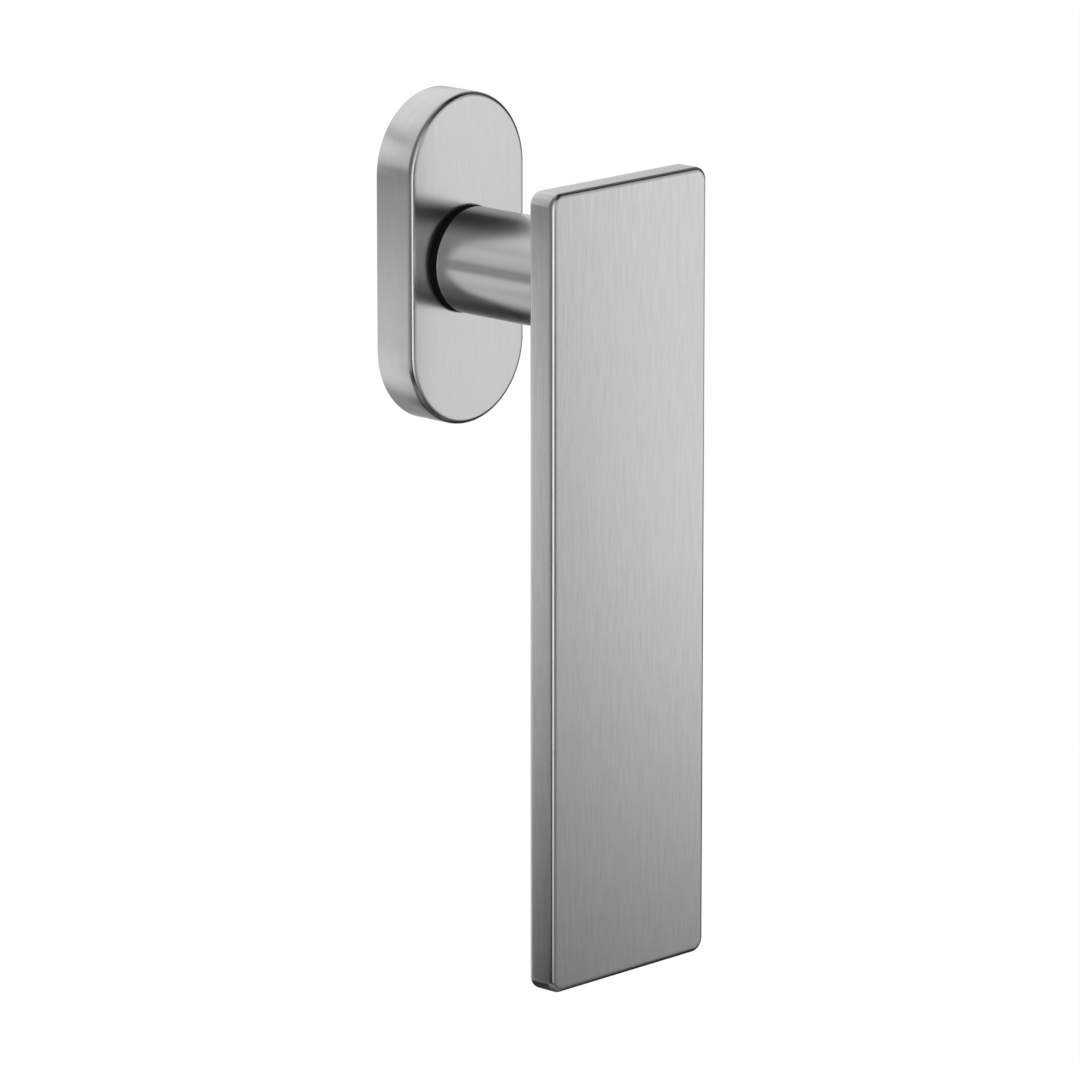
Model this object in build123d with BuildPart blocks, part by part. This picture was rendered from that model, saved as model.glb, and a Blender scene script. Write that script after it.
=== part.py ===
# Window handle: a flat grip on a round neck that turns in an oval rosette.
# Frame: +Z up, +Y into the sash, origin on the spindle axis at the back of the rosette.
# A depth is a distance out of the sash, along -Y.
import os

from build123d import *

os.makedirs("parts", exist_ok=True)

# Driving dimensions of what is seen, in millimetres.
grip_width = 41.0
grip_length = 149.0
grip_thickness = 6.0
grip_top = 20.0  # from the spindle axis up to the grip's top edge
grip_corner = 2.6
grip_edge = 1.0
projection = 50.0  # depth of the grip's front face
neck_diameter = 20.0
neck_edge = 0.3
cover_height = 62.4
cover_width = 30.0
cover_depth = 9.0
cover_wall = 1.0
cover_edge = 1.0
reveal = 1.4  # shadow gap between the cover and the neck
collar_step = 0.1  # the collar in that gap is smaller than the neck, radial

# Driving dimensions of the standard window fittings.
screw_spacing = 43.0
screw_diameter = 5.0
screw_head = 9.4
peg_diameter = 10.0
peg_length = 5.5
spindle_size = 7.0  # square, pushed into the hub when the handle is fitted
hub_reach = 32.0  # depth that the hub reaches inside the neck

# Driving dimensions of the detent and its bearing.
shank_diameter = 13.0
bush_wall = 2.0
cam_across = 15.0  # across its flats
cam_corner_cut = 9.2  # radius to which its corners are cut
ring_width = 1.7
groove_depth = 0.4
flat_depth = 1.25
spring_thickness = 0.7
spring_length = 26.0
clip_thickness = 0.4
clip_length = 15.0
clip_width = 3.6

# Fits and clearances.
cover_clearance = 0.2  # base plate inside the cover
slide_clearance = 0.06  # cover hole around the neck, radial
running_fit = 0.05  # radial, and between faces that turn on each other
close_fit = 0.03  # radial, between pieces that are pressed or staked together

# Depths of the stack, from the front of the grip back to the sash.
grip_back = projection - grip_thickness
neck_end = cover_depth + reveal
base_depth = cover_depth - cover_wall - cover_clearance
bearing_wall = 0.31 * base_depth
washer_thickness = 0.065 * base_depth
cam_thickness = 0.3 * base_depth
ring_thickness = 0.13 * base_depth
plate_thickness = 0.1 * base_depth
chamber_front = base_depth - bearing_wall
washer_front = chamber_front - running_fit
cam_front = washer_front - washer_thickness - running_fit
cam_back = cam_front - cam_thickness
ring_front = cam_back - 2 * running_fit
ring_back = ring_front - ring_thickness
shank_end = plate_thickness + 3 * running_fit

# Radii and half widths.
neck_radius = neck_diameter / 2
shank_radius = shank_diameter / 2
flat_half = shank_radius - flat_depth
groove_radius = shank_radius - groove_depth
bush_radius = shank_radius + running_fit + bush_wall
collar_radius = neck_radius - collar_step
cover_hole = neck_radius + slide_clearance
base_width = cover_width - 2 * cover_wall - 2 * cover_clearance
base_height = cover_height - 2 * cover_wall - 2 * cover_clearance
cam_half = cam_across / 2
spring_inner = cam_half + running_fit
spring_outer = spring_inner + spring_thickness

# Detent chamber in the back of the base plate.
chamber_half = cam_corner_cut + spring_thickness + 0.4
chamber_width = 2 * chamber_half
chamber_height = spring_length - 4.0
slot_width = spring_thickness + 0.3
slot_height = spring_length + 0.6
rear_width = chamber_width + 4.0
rear_height = slot_height + 3.4
rear_corner = 3.0
stake_radius = 1.0
stake_x = rear_width / 2 - 2.0
stake_z = rear_height / 2 - 2.0
chamber_corner = 1.0
spring_front = cam_front - 2 * running_fit
spring_back = cam_back + 2 * running_fit
tab_back = plate_thickness + running_fit
spindle_hole = 0.78 * spindle_size

# Outside of the base plate: edge, pegs, screw holes and clip pockets.
base_edge = 0.6
peg_chamfer = 0.6
screw_hole = screw_diameter + 0.5
countersink = screw_head + 0.8
pocket_depth = 1.0
pocket_floor = base_width / 2 - pocket_depth
clip_depth = base_depth / 2

# Hub pressed into the neck, and the spigot that centres the neck in the grip for welding.
socket_size = spindle_size + 2 * running_fit
socket_lead = 0.3
hub_chamfer = 0.5
spigot_radius = 0.6 * neck_radius
spigot_length = grip_thickness / 2
spigot_room = 0.1
hub_room = 0.2


with BuildPart() as grip_plate:
    with BuildSketch(Plane.XZ.offset(grip_back)):
        with Locations((0, grip_top - grip_length / 2)):
            RectangleRounded(grip_width, grip_length, grip_corner)
    extrude(amount=grip_thickness)
    fillet(grip_plate.faces().filter_by(Axis.Y).edges(), radius=grip_edge)
    with BuildSketch(Plane.XZ.offset(grip_back)):
        Circle(spigot_radius + close_fit)
    extrude(amount=spigot_length + spigot_room, mode=Mode.SUBTRACT)


with BuildPart() as neck:
    with BuildSketch(Plane.XZ.offset(neck_end)):
        Circle(neck_radius)
    extrude(amount=grip_back - neck_end)
    chamfer(neck.faces().sort_by(Axis.Y)[-1].edges(), length=neck_edge)
    with BuildSketch(Plane.XZ.offset(grip_back)):
        Circle(spigot_radius)
    extrude(amount=spigot_length)
    # Bore for the hub.
    with BuildSketch(Plane.XZ.offset(neck_end)):
        Circle(shank_radius + close_fit)
    extrude(amount=hub_reach + hub_room - neck_end, mode=Mode.SUBTRACT)


with BuildPart() as drive_hub:
    # Turned profile, radius against depth, with a groove for the retaining ring.
    with BuildSketch(Plane.XY):
        with BuildLine():
            Polyline(
                (0, -shank_end),
                (shank_radius, -shank_end),
                (shank_radius, -ring_back + running_fit),
                (groove_radius, -ring_back + running_fit),
                (groove_radius, -ring_front - running_fit),
                (shank_radius, -ring_front - running_fit),
                (shank_radius, -hub_reach + hub_chamfer),
                (shank_radius - hub_chamfer, -hub_reach),
                (0, -hub_reach),
                close=True,
            )
        make_face()
    revolve(axis=Axis.Y)
    # Two flats that drive the detent cam.
    with BuildSketch(Plane.XZ.offset(shank_end)):
        with GridLocations(2 * flat_half + shank_diameter, 0, 2, 1):
            Rectangle(shank_diameter, 2 * shank_diameter)
    extrude(amount=cam_front + running_fit - shank_end, mode=Mode.SUBTRACT)
    # Square socket for the spindle, right through, with a lead-in at its mouth.
    with BuildSketch(Plane.XZ.offset(shank_end)):
        Rectangle(socket_size, socket_size)
    extrude(amount=hub_reach, mode=Mode.SUBTRACT)
    mouth = drive_hub.faces().sort_by(Axis.Y)[-1].inner_wires()[0].edges()
    chamfer(mouth, length=socket_lead)


with BuildPart() as thrust_washer:
    with BuildSketch(Plane.XZ.offset(washer_front - washer_thickness)):
        Circle(chamber_half - 0.5)
        Circle(shank_radius + 2 * running_fit, mode=Mode.SUBTRACT)
    extrude(amount=washer_thickness)


with BuildPart() as detent_cam:
    with BuildSketch(Plane.XZ.offset(cam_back)):
        Rectangle(2 * cam_half, 2 * cam_half)
        Circle(cam_corner_cut, mode=Mode.INTERSECT)
    extrude(amount=cam_thickness)
    # Bore with two flats, a slip fit on the neck's shank.
    with BuildSketch(Plane.XZ.offset(cam_back)):
        Circle(shank_radius + running_fit)
        Rectangle(2 * flat_half + 2 * running_fit, shank_diameter, mode=Mode.INTERSECT)
    extrude(amount=cam_thickness, mode=Mode.SUBTRACT)


with BuildPart() as retaining_ring:
    lug_radius = 0.8 * ring_width
    lug_centre = groove_radius + 0.95 * ring_width
    with BuildSketch(Plane.XZ.offset(ring_back)):
        Circle(groove_radius + ring_width)
        with PolarLocations(lug_centre, 2, start_angle=-107, angular_range=34, endpoint=True):
            Circle(lug_radius)
        Circle(groove_radius + close_fit, mode=Mode.SUBTRACT)
        with PolarLocations(lug_centre, 2, start_angle=-107, angular_range=34, endpoint=True):
            Circle(0.45 * lug_radius, mode=Mode.SUBTRACT)
        with Locations((0, -lug_centre)):
            Rectangle(lug_radius, 4 * lug_radius, mode=Mode.SUBTRACT)
    extrude(amount=ring_thickness)


with BuildPart() as bearing_bush:
    # Flanged nylon bush: its collar stands through the cover and fills the shadow gap.
    with BuildSketch(Plane.XZ.offset(chamber_front)):
        Circle(bush_radius)
    extrude(amount=bearing_wall)
    with BuildSketch(Plane.XZ.offset(base_depth)):
        Circle(collar_radius)
    extrude(amount=neck_end - running_fit - base_depth)
    with BuildSketch(Plane.XZ.offset(chamber_front)):
        Circle(shank_radius + running_fit)
    extrude(amount=neck_end, mode=Mode.SUBTRACT)


with BuildPart() as base_plate:
    with BuildSketch(Plane.XZ):
        SlotOverall(base_height, base_width, rotation=90)
    extrude(amount=base_depth)
    chamfer(base_plate.faces().sort_by(Axis.Y)[0].edges(), length=base_edge)
    # Support pegs that enter the sash around the screws.
    with BuildSketch(Plane.XZ):
        with GridLocations(0, screw_spacing, 1, 2):
            Circle(peg_diameter / 2)
    extrude(amount=-peg_length)
    chamfer(base_plate.faces().filter_by(Axis.Y).group_by(Axis.Y)[-1].edges(), length=peg_chamfer)
    with Locations(Plane.XZ.offset(base_depth)):
        with GridLocations(0, screw_spacing, 1, 2):
            CounterSinkHole(screw_hole / 2, countersink / 2, counter_sink_angle=90)
    # Recess for the rear cover, with two pips left standing to be staked over it.
    with BuildSketch(Plane.XZ):
        RectangleRounded(rear_width + 2 * cover_clearance, rear_height + 2 * cover_clearance, rear_corner)
        with Locations((-stake_x, stake_z), (stake_x, -stake_z)):
            Circle(stake_radius, mode=Mode.SUBTRACT)
    extrude(amount=plate_thickness, mode=Mode.SUBTRACT)
    # Detent chamber, slots for the springs' ends and the bore for the bush.
    with BuildSketch(Plane.XZ):
        RectangleRounded(chamber_width, chamber_height, chamber_corner)
    extrude(amount=chamber_front, mode=Mode.SUBTRACT)
    with BuildSketch(Plane.XZ):
        with GridLocations(spring_inner + spring_outer, 0, 2, 1):
            Rectangle(slot_width, slot_height)
    extrude(amount=spring_front + running_fit, mode=Mode.SUBTRACT)
    with BuildSketch(Plane.XZ):
        Circle(bush_radius + close_fit)
    extrude(amount=base_depth, mode=Mode.SUBTRACT)
    # Pockets in the flanks for the cover clips.
    for side in (-1, 1):
        with BuildSketch(Plane.YZ.offset(side * pocket_floor)):
            with Locations((-clip_depth, 0)):
                Rectangle(clip_width + 2 * cover_clearance, clip_length + 4 * cover_clearance)
        extrude(amount=side * pocket_depth, mode=Mode.SUBTRACT)


with BuildPart() as rear_cover:
    with BuildSketch(Plane.XZ):
        RectangleRounded(rear_width, rear_height, rear_corner)
        Circle(spindle_hole, mode=Mode.SUBTRACT)
        with Locations((-stake_x, stake_z), (stake_x, -stake_z)):
            Circle(stake_radius + close_fit, mode=Mode.SUBTRACT)
    extrude(amount=plate_thickness)


# Leaf springs: a narrow strip against the cam, with wide ends that fill the slots.
detent_springs = {}
for side, name in ((-1, "detent_spring_left"), (1, "detent_spring_right")):
    with BuildPart() as spring:
        with BuildSketch(Plane.YZ.offset(side * spring_inner)):
            with Locations((-(spring_front + spring_back) / 2, 0)):
                Rectangle(spring_front - spring_back, spring_length)
            tab_height = (spring_length - chamber_height) / 2 - running_fit
            with Locations((-(spring_front + tab_back) / 2, 0)):
                with GridLocations(0, spring_length - tab_height, 1, 2):
                    Rectangle(spring_front - tab_back, tab_height)
        extrude(amount=side * spring_thickness)
    detent_springs[name] = spring


# Bowed leaves: their ends bear in the base plate's pockets and their bows on the cover's walls.
cover_clips = {}
for side, name in ((-1, "cover_clip_left"), (1, "cover_clip_right")):
    with BuildPart() as clip:
        clip_crown = cover_width / 2 - cover_wall - running_fit
        with BuildSketch(Plane.XZ.offset(clip_depth - clip_width / 2)):
            with BuildLine():
                foot = side * pocket_floor
                crown = side * clip_crown
                sheet = side * clip_thickness
                inner = ThreePointArc((foot, -clip_length / 2), (crown - sheet, 0), (foot, clip_length / 2))
                outer = ThreePointArc((foot + sheet, -clip_length / 2), (crown, 0), (foot + sheet, clip_length / 2))
                Line(inner @ 0, outer @ 0)
                Line(inner @ 1, outer @ 1)
            make_face()
        extrude(amount=clip_width)
    cover_clips[name] = clip


with BuildPart() as cover_cap:
    with BuildSketch(Plane.XZ):
        SlotOverall(cover_height, cover_width, rotation=90)
    extrude(amount=cover_depth)
    fillet(cover_cap.faces().sort_by(Axis.Y)[0].edges(), radius=cover_edge)
    with BuildSketch(Plane.XZ):
        SlotOverall(cover_height - 2 * cover_wall, cover_width - 2 * cover_wall, rotation=90)
    extrude(amount=cover_depth - cover_wall, mode=Mode.SUBTRACT)
    with BuildSketch(Plane.XZ):
        Circle(cover_hole)
    extrude(amount=cover_depth, mode=Mode.SUBTRACT)


pieces = {
    "grip_plate": grip_plate,
    "neck": neck,
    "drive_hub": drive_hub,
    "thrust_washer": thrust_washer,
    "detent_cam": detent_cam,
    "retaining_ring": retaining_ring,
    "bearing_bush": bearing_bush,
    "base_plate": base_plate,
    "rear_cover": rear_cover,
    "cover_cap": cover_cap,
    **detent_springs,
    **cover_clips,
}
for name, piece in pieces.items():
    piece.part.label = name
    export_step(piece.part, f"parts/{name}.step")
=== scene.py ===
# Window handle: brushed steel grip, neck and rosette cover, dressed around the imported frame.
import math

import bpy
import bmesh
import numpy as np
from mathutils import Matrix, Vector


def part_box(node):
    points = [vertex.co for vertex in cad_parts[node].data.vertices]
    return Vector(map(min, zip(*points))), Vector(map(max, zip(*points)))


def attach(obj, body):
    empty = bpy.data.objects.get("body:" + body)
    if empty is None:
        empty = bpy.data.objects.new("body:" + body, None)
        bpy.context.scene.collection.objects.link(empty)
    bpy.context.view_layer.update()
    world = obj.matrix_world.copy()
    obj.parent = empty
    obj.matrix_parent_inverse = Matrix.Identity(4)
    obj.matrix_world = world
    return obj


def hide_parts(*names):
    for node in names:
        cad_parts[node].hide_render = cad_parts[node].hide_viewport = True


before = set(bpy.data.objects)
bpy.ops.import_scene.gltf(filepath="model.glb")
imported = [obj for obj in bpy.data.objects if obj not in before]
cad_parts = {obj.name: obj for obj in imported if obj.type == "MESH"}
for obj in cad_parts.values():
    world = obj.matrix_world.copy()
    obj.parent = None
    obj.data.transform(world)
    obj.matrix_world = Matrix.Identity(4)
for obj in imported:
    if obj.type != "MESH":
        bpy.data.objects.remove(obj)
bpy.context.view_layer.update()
mm = 0.001
print("frame loaded:", len(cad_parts), "nodes")


# Shapes

def offsetOutline(corners, radius, arcSteps, runSteps):
    # A closed outline as corner centres and outward directions: a point is centre + distance * direction.
    # At each corner the direction turns by an equal share of a full turn. The centre then runs to the next.
    # The length along the outline is measured at the given radius.
    turn = 2 * math.pi / len(corners)
    centres, directions = [], []
    for k, corner in enumerate(corners):
        start = corner[2]
        following = corners[(k + 1) % len(corners)]
        angle = np.r_[np.linspace(start, start + turn, arcSteps), np.full(runSteps, start + turn)]
        share = np.r_[np.zeros(arcSteps), (np.arange(runSteps) + 1) / (runSteps + 1)]
        centres.append(np.outer(1 - share, corner[:2]) + np.outer(share, following[:2]))
        directions.append(np.stack([np.cos(angle), np.sin(angle)], 1))
    centres, directions = np.concatenate(centres), np.concatenate(directions)
    points = centres + radius * directions
    steps = np.linalg.norm(np.roll(points, -1, 0) - points, axis=1)
    return centres, directions, np.r_[0, np.cumsum(steps)]


def quarterRound(edge, steps):
    # A quarter circle from a face to a wall, as inset from the wall and drop from the face.
    t = np.linspace(0, math.pi / 2, steps)
    return edge * (1 - np.sin(t)), edge * (1 - np.cos(t))


def ringGrid(centres, directions, reach, depth):
    # Rows are rings: each outline point moved out to the row's reach, at the row's depth out of the sash.
    flat = centres[None] + reach[:, None, None] * directions[None]
    return np.stack([flat[..., 0], np.broadcast_to(-depth[:, None], flat.shape[:2]), flat[..., 1]], 2)


def turnedGrid(radius, depth, steps):
    # A lathe profile, radius against depth, turned about the spindle axis.
    angle = np.linspace(0, 2 * math.pi, steps, endpoint=False)
    around = np.stack([np.cos(angle), np.sin(angle)], 1)
    return ringGrid(np.zeros_like(around), around, radius, depth)


def faceCorners(values, ringed=False):
    # A grid of values, read at the four corners of each face.
    here = values if ringed else values[:-1]
    following = np.roll(values, -1, 0) if ringed else values[1:]
    return np.stack([here, np.roll(here, -1, 1), np.roll(following, -1, 1), following], 2)


def columnEnds(values):
    # Values at the column ends, one more than there are columns, read at the four corners of each face.
    return np.stack([values[:-1], values[1:], values[1:], values[:-1]], 1)[None]


def facingAxis(corner):
    # The axis that each face looks along most, from the cross product of its diagonals.
    normal = np.cross(corner[:, :, 2] - corner[:, :, 0], corner[:, :, 3] - corner[:, :, 1])
    return np.abs(normal).argmax(2)[..., None]


def gridMesh(name, grid, grain=None, ringed=False):
    # Quads over a grid that closes along its rows, and along its columns too where it is ringed.
    rows, columns = grid.shape[:2]
    i = np.arange(rows if ringed else rows - 1)[:, None]
    j = np.arange(columns)[None]
    here, following = i * columns, (i + 1) % rows * columns
    across = (j + 1) % columns
    faces = np.stack([here + j, here + across, following + across, following + j], 2).reshape(-1, 4)
    points = grid.reshape(-1, 3)
    a, b, c, d = (points[faces[:, k]] for k in range(4))
    inward = np.einsum("ij,ij->i", a, np.cross(b, c) + np.cross(c, d)).sum() < 0
    order = -1 if inward else 1   # turns every face round where the volume comes out negative
    mesh = bpy.data.meshes.new(name)
    mesh.from_pydata(points.tolist(), [], faces[:, ::order].tolist())
    if grain is not None:
        corners = grain.reshape(-1, 4, 2)[:, ::order]
        mesh.uv_layers.new(name="grain").data.foreach_set("uv", corners.astype(np.float32).ravel())
    mesh.update()
    return mesh


closing = {
    "merge": 1e-7,     # metres between points that become one
    "sliver": 1e-8,    # metres, the length below which an edge goes
    "sharpFrom": 50,   # degrees between faces that meet at a real corner
}


def finishPiece(mesh, body, nodes, material):
    # Closes the poles and seams, shades smooth but for real corners, and rides with its body.
    work = bmesh.new()
    work.from_mesh(mesh)
    bmesh.ops.remove_doubles(work, verts=work.verts, dist=closing["merge"])
    bmesh.ops.dissolve_degenerate(work, edges=work.edges, dist=closing["sliver"])
    work.to_mesh(mesh)
    work.free()
    mesh.shade_smooth()
    mesh.set_sharp_from_angle(angle=math.radians(closing["sharpFrom"]))
    mesh.materials.append(material)
    piece = bpy.data.objects.new(mesh.name, mesh)
    bpy.context.collection.objects.link(piece)
    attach(piece, body)
    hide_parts(*nodes)


# Finishes

def newMaterial(name):
    # A material with its standard shader, ready for nodes.
    material = bpy.data.materials.new(name)
    material.use_nodes = True
    nodes = material.node_tree.nodes
    return material, nodes, material.node_tree.links, nodes["Principled BSDF"]


def addNode(nodes, kind, **settings):
    # A node with its sockets, or else its own settings, given by name.
    node = nodes.new(kind)
    for key, value in settings.items():
        if key in node.inputs:
            node.inputs[key].default_value = value
        else:
            setattr(node, key, value)
    return node


def bareMaterial(name):
    # A material with no nodes but its output.
    material, nodes, links, _ = newMaterial(name)
    nodes.clear()
    return material, nodes, links, addNode(nodes, "ShaderNodeOutputMaterial")


def shadeRamp(nodes, colour, swing, ends):
    # The colour times 1 - swing at the lower end of its input, rising to 1 + swing at the upper end.
    ramp = addNode(nodes, "ShaderNodeValToRGB")
    for element, place, side in zip(ramp.color_ramp.elements, ends, (-1, 1)):
        element.position = place
        element.color = [c * (1 + side * swing) for c in colour] + [1]
    return ramp


def valueRange(nodes, middle, swing):
    # A value from middle - swing to middle + swing.
    return addNode(nodes, "ShaderNodeMapRange", **{"To Min": middle - swing, "To Max": middle + swing})


brushedLook = {
    "colour": (0.62, 0.62, 0.62),
    "roughness": 0.22,
    "anisotropy": 0.3,
    "fineLines": (3000, 190),    # per metre across and along the grain
    "broadLines": (900, 90),
    "broadShare": 0.4,
    "colourSwing": 0.09,
    "shadeEnds": (0.25, 0.75),
    "roughnessSwing": 0.02,
}


def brushedSteel(name, look):
    # Fine and broad noise, both drawn out along the grain map, swing the shade and the roughness together.
    material, nodes, links, shader = newMaterial(name)
    shader.inputs["Metallic"].default_value = 1
    shader.inputs["Anisotropic"].default_value = look["anisotropy"]
    grainMap = addNode(nodes, "ShaderNodeUVMap", uv_map="grain")
    across = addNode(nodes, "ShaderNodeTangent", direction_type="UV_MAP", uv_map="grain")
    links.new(across.outputs["Tangent"], shader.inputs["Tangent"])
    both = addNode(nodes, "ShaderNodeMix", data_type="FLOAT")
    both.inputs[0].default_value = look["broadShare"]
    for socket, lines in ((2, look["fineLines"]), (3, look["broadLines"])):   # the two numbers to mix
        stretch = addNode(nodes, "ShaderNodeMapping", Scale=(*lines, 1))
        streaks = addNode(nodes, "ShaderNodeTexNoise", noise_dimensions="2D",
                          Scale=1.0, Detail=3.0, Roughness=0.6)
        links.new(grainMap.outputs["UV"], stretch.inputs["Vector"])
        links.new(stretch.outputs["Vector"], streaks.inputs["Vector"])
        links.new(streaks.outputs["Fac"], both.inputs[socket])
    shade = shadeRamp(nodes, look["colour"], look["colourSwing"], look["shadeEnds"])
    links.new(both.outputs[0], shade.inputs["Fac"])
    links.new(shade.outputs["Color"], shader.inputs["Base Color"])
    rough = valueRange(nodes, look["roughness"], look["roughnessSwing"])
    links.new(both.outputs[0], rough.inputs["Value"])
    links.new(rough.outputs["Result"], shader.inputs["Roughness"])
    return material


def fineGrain(nodes, links, shader, place, look):
    # Noise on the piece's own coordinates, raised by the relief's depth.
    grain = addNode(nodes, "ShaderNodeTexNoise", Scale=look["grainScale"], Detail=2.0)
    relief = addNode(nodes, "ShaderNodeBump", Strength=look["relief"], Distance=look["reliefDepth"])
    links.new(place.outputs["Object"], grain.inputs["Vector"])
    links.new(grain.outputs["Fac"], relief.inputs["Height"])
    links.new(relief.outputs["Normal"], shader.inputs["Normal"])
    return grain


plainLook = {
    "grainsPerCloud": 12,
    "shadeEnds": (0.3, 0.7),
    "roughnessSwing": 0.2,   # of the roughness itself
    "reliefDepth": 0.02 * mm,
}
plainLooks = {
    "platedSteel": {
        "colour": (0.66, 0.67, 0.69),
        "colourSwing": 0.06,
        "roughness": 0.28,
        "grainScale": 6000,
        "relief": 0.1,
    },
    "springSteel": {
        "colour": (0.30, 0.30, 0.32),
        "colourSwing": 0.12,
        "roughness": 0.35,
        "grainScale": 5000,
        "relief": 0.1,
    },
    "castZinc": {
        "colour": (0.50, 0.50, 0.51),
        "colourSwing": 0.10,
        "roughness": 0.48,
        "grainScale": 3000,
        "relief": 0.5,
    },
}


def plainMetal(name, look):
    # Plated, cast or tempered metal: cloudy noise swings shade and roughness, over a fine grain in relief.
    material, nodes, links, shader = newMaterial(name)
    shader.inputs["Metallic"].default_value = 1
    place = addNode(nodes, "ShaderNodeTexCoord")
    cloudScale = look["grainScale"] / look["grainsPerCloud"]
    clouds = addNode(nodes, "ShaderNodeTexNoise", Scale=cloudScale, Detail=4.0)
    links.new(place.outputs["Object"], clouds.inputs["Vector"])
    shade = shadeRamp(nodes, look["colour"], look["colourSwing"], look["shadeEnds"])
    links.new(clouds.outputs["Fac"], shade.inputs["Fac"])
    links.new(shade.outputs["Color"], shader.inputs["Base Color"])
    rough = valueRange(nodes, look["roughness"], look["roughness"] * look["roughnessSwing"])
    links.new(clouds.outputs["Fac"], rough.inputs["Value"])
    links.new(rough.outputs["Result"], shader.inputs["Roughness"])
    fineGrain(nodes, links, shader, place, look)
    return material


nylonLook = {
    "colour": (0.0045, 0.0045, 0.0045),
    "colourSwing": 1 / 3,
    "shadeEnds": (0, 1),
    "roughness": 0.55,
    "specular": 0.15,
    "grainScale": 4000,
    "relief": 0.2,
    "reliefDepth": 0.02 * mm,
}


def mouldedNylon(name, look):
    # Near black and matt: one fine grain swings the shade and stands in relief.
    material, nodes, links, shader = newMaterial(name)
    shader.inputs["Roughness"].default_value = look["roughness"]
    shader.inputs["Specular IOR Level"].default_value = look["specular"]
    place = addNode(nodes, "ShaderNodeTexCoord")
    grain = fineGrain(nodes, links, shader, place, look)
    shade = shadeRamp(nodes, look["colour"], look["colourSwing"], look["shadeEnds"])
    links.new(grain.outputs["Fac"], shade.inputs["Fac"])
    links.new(shade.outputs["Color"], shader.inputs["Base Color"])
    return material


coverLook = {**brushedLook, "colourSwing": 0.045}
neckLook = {
    **brushedLook,
    "colour": (0.64, 0.64, 0.64),
    "roughness": 0.24,
    "anisotropy": 0.5,
    "colourSwing": 0.02,
}
gripSteel = brushedSteel("gripSteel", brushedLook)
coverSteel = brushedSteel("coverSteel", coverLook)
neckSteel = brushedSteel("neckSteel", neckLook)
plainMetals = {name: plainMetal(name, {**plainLook, **look}) for name, look in plainLooks.items()}
blackNylon = mouldedNylon("blackNylon", nylonLook)
print("finishes made")


# Grip: a flat bar with rounded corners, softened all round

grip = {
    "corner": 2.6 * mm,
    "edge": 1.0 * mm,
    "support": 0.5 * mm,   # flat margin beside the rounding
    "arcSteps": 14,
    "edgeSteps": 12,
    "runSteps": 24,
}


def makeGrip(spec):
    # Rings of the rounded outline, stepped round the front's edge, down the wall and round the back's edge.
    low, high = (np.array(corner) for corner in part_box("grip_plate"))
    middle = (low + high) / 2
    halfX, halfZ = (high - low)[[0, 2]] / 2
    radius, edge = spec["corner"], spec["edge"]
    x, z = halfX - radius, halfZ - radius
    corners = [(x, z, 0), (-x, z, math.pi / 2), (-x, -z, math.pi), (x, -z, 1.5 * math.pi)]
    centres, directions, _ = offsetOutline(corners, radius, spec["arcSteps"], spec["runSteps"])
    inset, drop = quarterRound(edge, spec["edgeSteps"])
    reach = radius - np.r_[edge + spec["support"], inset]
    front, back = -low[1], -high[1]
    depth = np.r_[front, front - drop]
    reach, depth = np.r_[reach, reach[::-1]], np.r_[depth, back + front - depth[::-1]]
    rings = ringGrid(centres, directions, reach, depth)
    # Each flat face is a loft from its outer ring to the middle line of the bar.
    spine = rings[[0, -1]].copy()
    spine[..., 0] = 0
    spine[..., 2] = np.clip(spine[..., 2], -(halfZ - halfX), halfZ - halfX)
    grid = np.concatenate([spine[:1], rings, spine[1:]])
    grid += np.array([middle[0], 0, middle[2]])
    # Grain runs down the faces and flanks and across the two ends.
    corner = faceCorners(grid)
    facing = facingAxis(corner)
    first = np.where(facing == 1, corner[..., 0], corner[..., 1])
    second = np.where(facing == 2, corner[..., 0], corner[..., 2])
    mesh = gridMesh("gripPlate", grid, np.stack([first, second], 3))
    finishPiece(mesh, "handle", ["grip_plate"], gripSteel)


makeGrip(grip)
print("grip made")


# Neck: a turned bar, its free end's edge broken, with a bore for the hub

neck = {
    "edge": 0.2 * mm,
    "edgeSteps": 7,
    "support": 0.3 * mm,       # flat margin beside the rounding
    "boreRoom": 0.03 * mm,     # round the pressed hub
    "boreEndRoom": 0.2 * mm,   # past the hub's end
    "turnSteps": 160,
}


def turnedGrain(grid):
    # Grain of a turned piece: across it runs along the profile, and along it runs round the axis.
    radius = np.hypot(grid[..., 0], grid[..., 2])
    step = np.hypot(np.diff(radius[:, 0]), np.diff(grid[:, 0, 1]))
    along = np.broadcast_to(np.r_[0, np.cumsum(step)][:, None], radius.shape)
    first = faceCorners(along)
    angle = np.linspace(0, 2 * math.pi, grid.shape[1] + 1)
    widest = (radius[1:] + radius[:-1]).max() / 2
    return np.stack([first, widest * np.broadcast_to(columnEnds(angle), first.shape)], 3)


def makeNeck(spec):
    # A lathe profile: out of the bore from its end, over the rounded edge and along to the grip's back.
    _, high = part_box("neck")
    gripBack = -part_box("grip_plate")[1][1]
    hubLow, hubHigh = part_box("drive_hub")
    outer, bore = high[0], hubHigh[0] + spec["boreRoom"]
    end = -high[1]
    boreEnd = -hubLow[1] + spec["boreEndRoom"]
    edge, margin = spec["edge"], spec["support"]
    inset, drop = quarterRound(edge, spec["edgeSteps"])
    radius = np.r_[0, bore, bore, outer - edge - margin, outer - inset, outer, outer, 0]
    depth = np.r_[boreEnd, boreEnd, end, end, end + drop, end + edge + margin, gripBack, gripBack]
    grid = turnedGrid(radius, depth, spec["turnSteps"])
    mesh = gridMesh("neckBar", grid, turnedGrain(grid))
    finishPiece(mesh, "handle", ["neck"], neckSteel)


makeNeck(neck)
print("neck made")


# Cover: a drawn shell, its front softened into its wall, with a round hole for the neck

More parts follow.
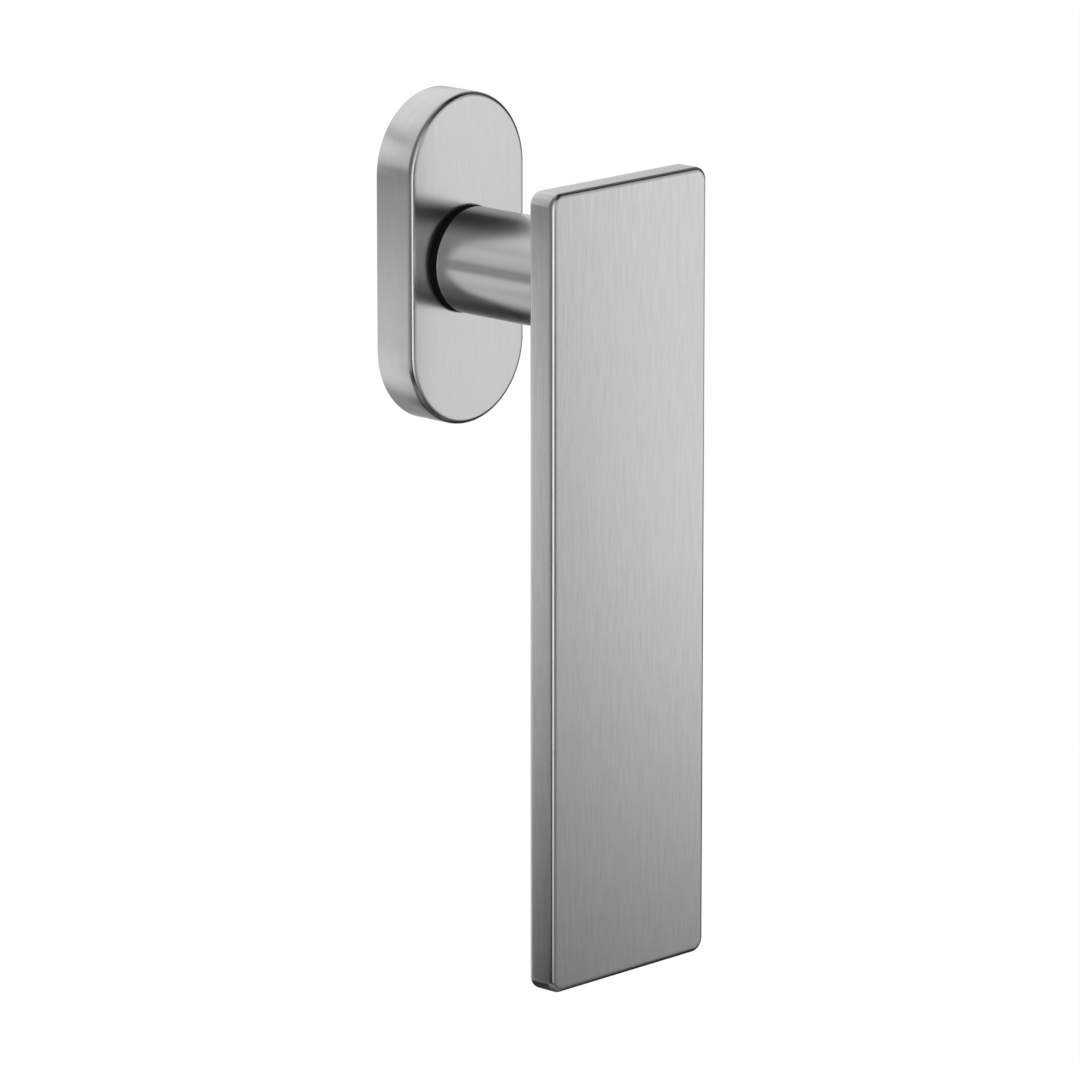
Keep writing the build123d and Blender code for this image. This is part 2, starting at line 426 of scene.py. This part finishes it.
cover = {
    "edge": 1.0 * mm,
    "edgeSteps": 12,
    "support": 0.5 * mm,    # flat margin beside each rounding
    "wall": 1.0 * mm,
    "slide": 0.06 * mm,     # room round the neck
    "holeEdge": 0.02 * mm,
    "holeSteps": 5,
    "rimEdge": 0.15 * mm,
    "rimSteps": 4,
    "arcSteps": 72,
    "runSteps": 16,
}


def makeCover(spec):
    # Rings of a two-centred outline, joined to rings of the hole and closed on themselves through the inside.
    low, high = (np.array(corner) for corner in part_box("cover_cap"))
    radius = high[0]
    half = high[2] - radius
    front = -low[1]
    corners = [(0, half, 0), (0, -half, math.pi)]
    centres, directions, length = offsetOutline(corners, radius, spec["arcSteps"], spec["runSteps"])
    edge, wall, margin = spec["edge"], spec["wall"], spec["support"]
    inset, drop = quarterRound(edge, spec["edgeSteps"])
    rimInset, rimDrop = quarterRound(spec["rimEdge"], spec["rimSteps"])
    # Outside from the front's margin round to the rim, then up the inner wall to the inner face.
    reach = radius - np.r_[edge + margin, inset, 0, rimInset[::-1],
                           wall - rimInset, wall, wall, wall + margin]
    depth = np.r_[front, front - drop, front - edge - margin, rimDrop[::-1],
                  rimDrop, margin, front - wall, front - wall]
    rings = ringGrid(centres, directions, reach, depth)
    # The hole is a circle met along the same bearings as the outline.
    bearing = np.arctan2(rings[0, :, 2], rings[0, :, 0])
    holeInset, holeDrop = quarterRound(spec["holeEdge"], spec["holeSteps"])
    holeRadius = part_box("neck")[1][0] + spec["slide"]
    holeReach = holeRadius + np.r_[0, holeInset[::-1], spec["holeEdge"] + margin]
    holeDepth = np.r_[front - wall, front - holeDrop[::-1], front]
    around = np.stack([np.cos(bearing), np.sin(bearing)], 1)
    hole = ringGrid(np.zeros_like(around), around, holeReach, holeDepth)
    grid = np.concatenate([hole, rings])
    # Grain runs down the faces, and round the wall along the outline.
    corner = faceCorners(grid, ringed=True)
    facing = facingAxis(corner) == 1
    first = np.where(facing, corner[..., 0], corner[..., 1])
    second = np.where(facing, corner[..., 2], np.broadcast_to(columnEnds(length), first.shape))
    mesh = gridMesh("coverShell", grid, np.stack([first, second], 3), ringed=True)
    finishPiece(mesh, "cover", ["cover_cap"], coverSteel)


makeCover(cover)
print("cover made")


# Bush: a flanged nylon ring, its collar standing in the gap behind the neck

bush = {
    "edge": 0.25 * mm,
    "edgeSteps": 5,
    "boreRoom": 0.05 * mm,   # round the turning hub
    "sleeveWall": 2.0 * mm,
    "turnSteps": 128,
}


def makeBush(spec):
    # A lathe profile: over the collar's rounded edge to its seat, along the sleeve and back through the bore.
    low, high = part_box("bearing_bush")
    seat = -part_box("base_plate")[0][1]
    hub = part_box("drive_hub")[1][0]
    outer, front, back = high[0], -low[1], -high[1]
    bore = hub + spec["boreRoom"]
    sleeve = bore + spec["sleeveWall"]
    inset, drop = quarterRound(spec["edge"], spec["edgeSteps"])
    radius = np.r_[bore, outer - inset, outer, sleeve, sleeve, bore]
    depth = np.r_[front, front - drop, seat, seat, back, back]
    grid = turnedGrid(radius, depth, spec["turnSteps"])
    grid = np.concatenate([grid, grid[:1]])
    mesh = gridMesh("bushRing", grid, turnedGrain(grid))
    finishPiece(mesh, "base", ["bearing_bush"], blackNylon)


makeBush(bush)
print("bush made")


# Working pieces behind the cover keep their solids and get their finishes

innerFinish = {
    "base_plate": "castZinc",
    "rear_cover": "platedSteel",
    "drive_hub": "platedSteel",
    "thrust_washer": "platedSteel",
    "detent_cam": "springSteel",
    "retaining_ring": "springSteel",
    "detent_spring_left": "springSteel",
    "detent_spring_right": "springSteel",
    "cover_clip_left": "springSteel",
    "cover_clip_right": "springSteel",
}
for nodeName, finish in innerFinish.items():
    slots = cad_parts[nodeName].data.materials
    slots.clear()
    slots.append(plainMetals[finish])
print("inner pieces finished")


# Light: a white room, and a tent of soft panels that only reflections see

tent = {
    "centre": (0, -25 * mm, -40 * mm),
    "radius": 350 * mm,
    "columns": 360,
    "rows": 180,
    # Each panel covers those before it: bearing from the front towards the right and height, half width and
    # half height, softness across and up and down, all in degrees, and its level.
    "panels": [
        (0, -80, 200, 20, 40, 15, 0.10),     # floor
        (-60, 80, 90, 20, 40, 10, 0.20),     # ceiling
        (180, 30, 70, 70, 30, 15, 0.70),     # pale backdrop
        (185, -18, 65, 22, 30, 15, 0.35),    # floor behind
        (160, -10, 40, 10, 25, 10, 0.75),    # wall behind
        (170, 35, 35, 20, 30, 10, 1.00),     # skylight behind
        (-160, 25, 20, 5, 15, 10, 0.95),     # its lower pane
        (-160, 35, 20, 2.5, 15, 5, 0.50),    # its beam
        (-110, -12, 35, 15, 25, 10, 0.70),   # fill from the left
        (-85, 30, 35, 40, 35, 40, 0.20),     # dim wall over it
        (-155, -20, 19, 20, 20, 30, 0.90),   # window, back left
        (-112, -34, 27, 12, 10, 25, 0.08),   # its sill
        (-140, 0, 25, 3, 15, 5, 0.25),       # its bar
        (-125, 8, 25, 4, 15, 5, 0.30),       # its blind
        (-35, -55, 90, 12, 35, 10, 0.25),    # paler floor in front
        (10, 12, 45, 20, 15, 25, 0.60),      # band over the front
        (25, -20, 30, 18, 15, 15, 0.20),     # dark flag below it
        (-30, 18, 20, 35, 25, 40, 0.60),     # scrim over the camera
        (-22, -5, 12, 22, 20, 30, 1.70),     # softbox beside the camera
        (50, -5, 10, 17, 15, 40, 1.40),      # softbox at the right
        (80, -5, 30, 5, 25, 15, 0.60),       # its spill
        (50, 28, 10, 15, 15, 15, 0.70),      # its top
        (100, 45, 25, 15, 20, 15, 0.15),     # dim wall behind it
    ],
}


def softEdge(offset, half, soft):
    # One inside the half width, easing to zero over the softness at either side of it.
    t = np.clip((half + soft / 2 - np.abs(offset)) / soft, 0, 1)
    return t * t * (3 - 2 * t)


def makeTent(spec):
    # A ball by bearing and height, whose glow moves to each panel's level by the share that the panel covers.
    bearing = np.linspace(-180, 180, spec["columns"], endpoint=False)
    height = np.linspace(-90, 90, spec["rows"])
    b, h = np.meshgrid(np.radians(bearing), np.radians(height))
    ball = np.stack([np.sin(b) * np.cos(h), -np.cos(b) * np.cos(h), np.sin(h)], 2)
    glow = np.zeros_like(b)
    for azimuth, elevation, halfWidth, halfHeight, softAcross, softUp, level in spec["panels"]:
        turned = (np.degrees(b) - azimuth + 180) % 360 - 180
        raised = np.degrees(h) - elevation
        share = softEdge(turned, halfWidth, softAcross) * softEdge(raised, halfHeight, softUp)
        glow = glow + (level - glow) * share
    mesh = gridMesh("lightTent", np.array(spec["centre"]) + spec["radius"] * ball)
    mesh.attributes.new("glow", "FLOAT", "POINT").data.foreach_set("value", glow.astype(np.float32).ravel())
    material, nodes, links, output = bareMaterial("tentGlow")
    strength = addNode(nodes, "ShaderNodeAttribute", attribute_name="glow")
    emission = addNode(nodes, "ShaderNodeEmission")
    links.new(strength.outputs["Fac"], emission.inputs["Strength"])
    links.new(emission.outputs["Emission"], output.inputs["Surface"])
    mesh.materials.append(material)
    mesh.shade_smooth()
    shell = bpy.data.objects.new("lightTent", mesh)
    bpy.context.collection.objects.link(shell)
    for rays in ("camera", "diffuse", "shadow", "transmission", "volume_scatter"):
        setattr(shell, "visible_" + rays, False)


makeTent(tent)

room = {
    "white": 1.0,
    "floorColour": (0.95, 0.95, 0.95, 1),
    "floorHeight": -450 * mm,
    "floorHalf": 4000 * mm,
    "shadowShare": 0.04,  # how much of the floor's own shading the camera sees
}


def makeRoom(spec):
    # A white world and a square floor, which is white to camera, glossy and transmission rays but for its
    # share of shadow, and matt to the rest.
    world = bpy.data.worlds.new("whiteRoom")
    bpy.context.scene.world = world
    world.use_nodes = True
    sky = world.node_tree.nodes["Background"]
    sky.inputs["Color"].default_value = (1, 1, 1, 1)
    sky.inputs["Strength"].default_value = spec["white"]
    half, z = spec["floorHalf"], spec["floorHeight"]
    corners = [(-half, -half, z), (half, -half, z), (half, half, z), (-half, half, z)]
    mesh = bpy.data.meshes.new("floor")
    mesh.from_pydata(corners, [], [(0, 1, 2, 3)])
    material, nodes, links, output = bareMaterial("paleFloor")
    path = addNode(nodes, "ShaderNodeLightPath")
    seen = addNode(nodes, "ShaderNodeMath", operation="MAXIMUM")
    through = addNode(nodes, "ShaderNodeMath", operation="MAXIMUM")
    share = addNode(nodes, "ShaderNodeMath", operation="MULTIPLY")
    share.inputs[1].default_value = 1 - spec["shadowShare"]
    matt = addNode(nodes, "ShaderNodeBsdfDiffuse", Color=spec["floorColour"])
    white = addNode(nodes, "ShaderNodeEmission", Strength=spec["white"])
    mix = addNode(nodes, "ShaderNodeMixShader")
    links.new(path.outputs["Is Camera Ray"], seen.inputs[0])
    links.new(path.outputs["Is Glossy Ray"], seen.inputs[1])
    links.new(seen.outputs[0], through.inputs[0])
    links.new(path.outputs["Is Transmission Ray"], through.inputs[1])
    links.new(through.outputs[0], share.inputs[0])
    links.new(share.outputs[0], mix.inputs[0])
    links.new(matt.outputs[0], mix.inputs[1])
    links.new(white.outputs[0], mix.inputs[2])
    links.new(mix.outputs[0], output.inputs["Surface"])
    mesh.materials.append(material)
    floor = bpy.data.objects.new("floor", mesh)
    bpy.context.collection.objects.link(floor)


makeRoom(room)
bpy.context.scene.view_settings.view_transform = "Standard"
print("light set")


# Camera: long lens from the front left, looking a little down

camera = {
    "lens": 248.77,
    "sensor": 36,
    "place": (-968.04 * mm, -955.38 * mm, 269.51 * mm),
    "bearing": -46.2066,   # degrees about the vertical
    "down": 13.4182,       # degrees below level
    "clip": (0.05, 50),    # metres
}


def makeCamera(spec):
    # From level, tipped down by its angle and then turned about the vertical.
    data = bpy.data.cameras.new("camera")
    data.lens = spec["lens"]
    data.sensor_width = spec["sensor"]
    data.clip_start, data.clip_end = spec["clip"]
    eye = bpy.data.objects.new("camera", data)
    eye.location = spec["place"]
    eye.rotation_euler = (math.radians(90 - spec["down"]), 0, math.radians(spec["bearing"]))
    bpy.context.collection.objects.link(eye)
    bpy.context.scene.camera = eye


makeCamera(camera)
print("camera set")
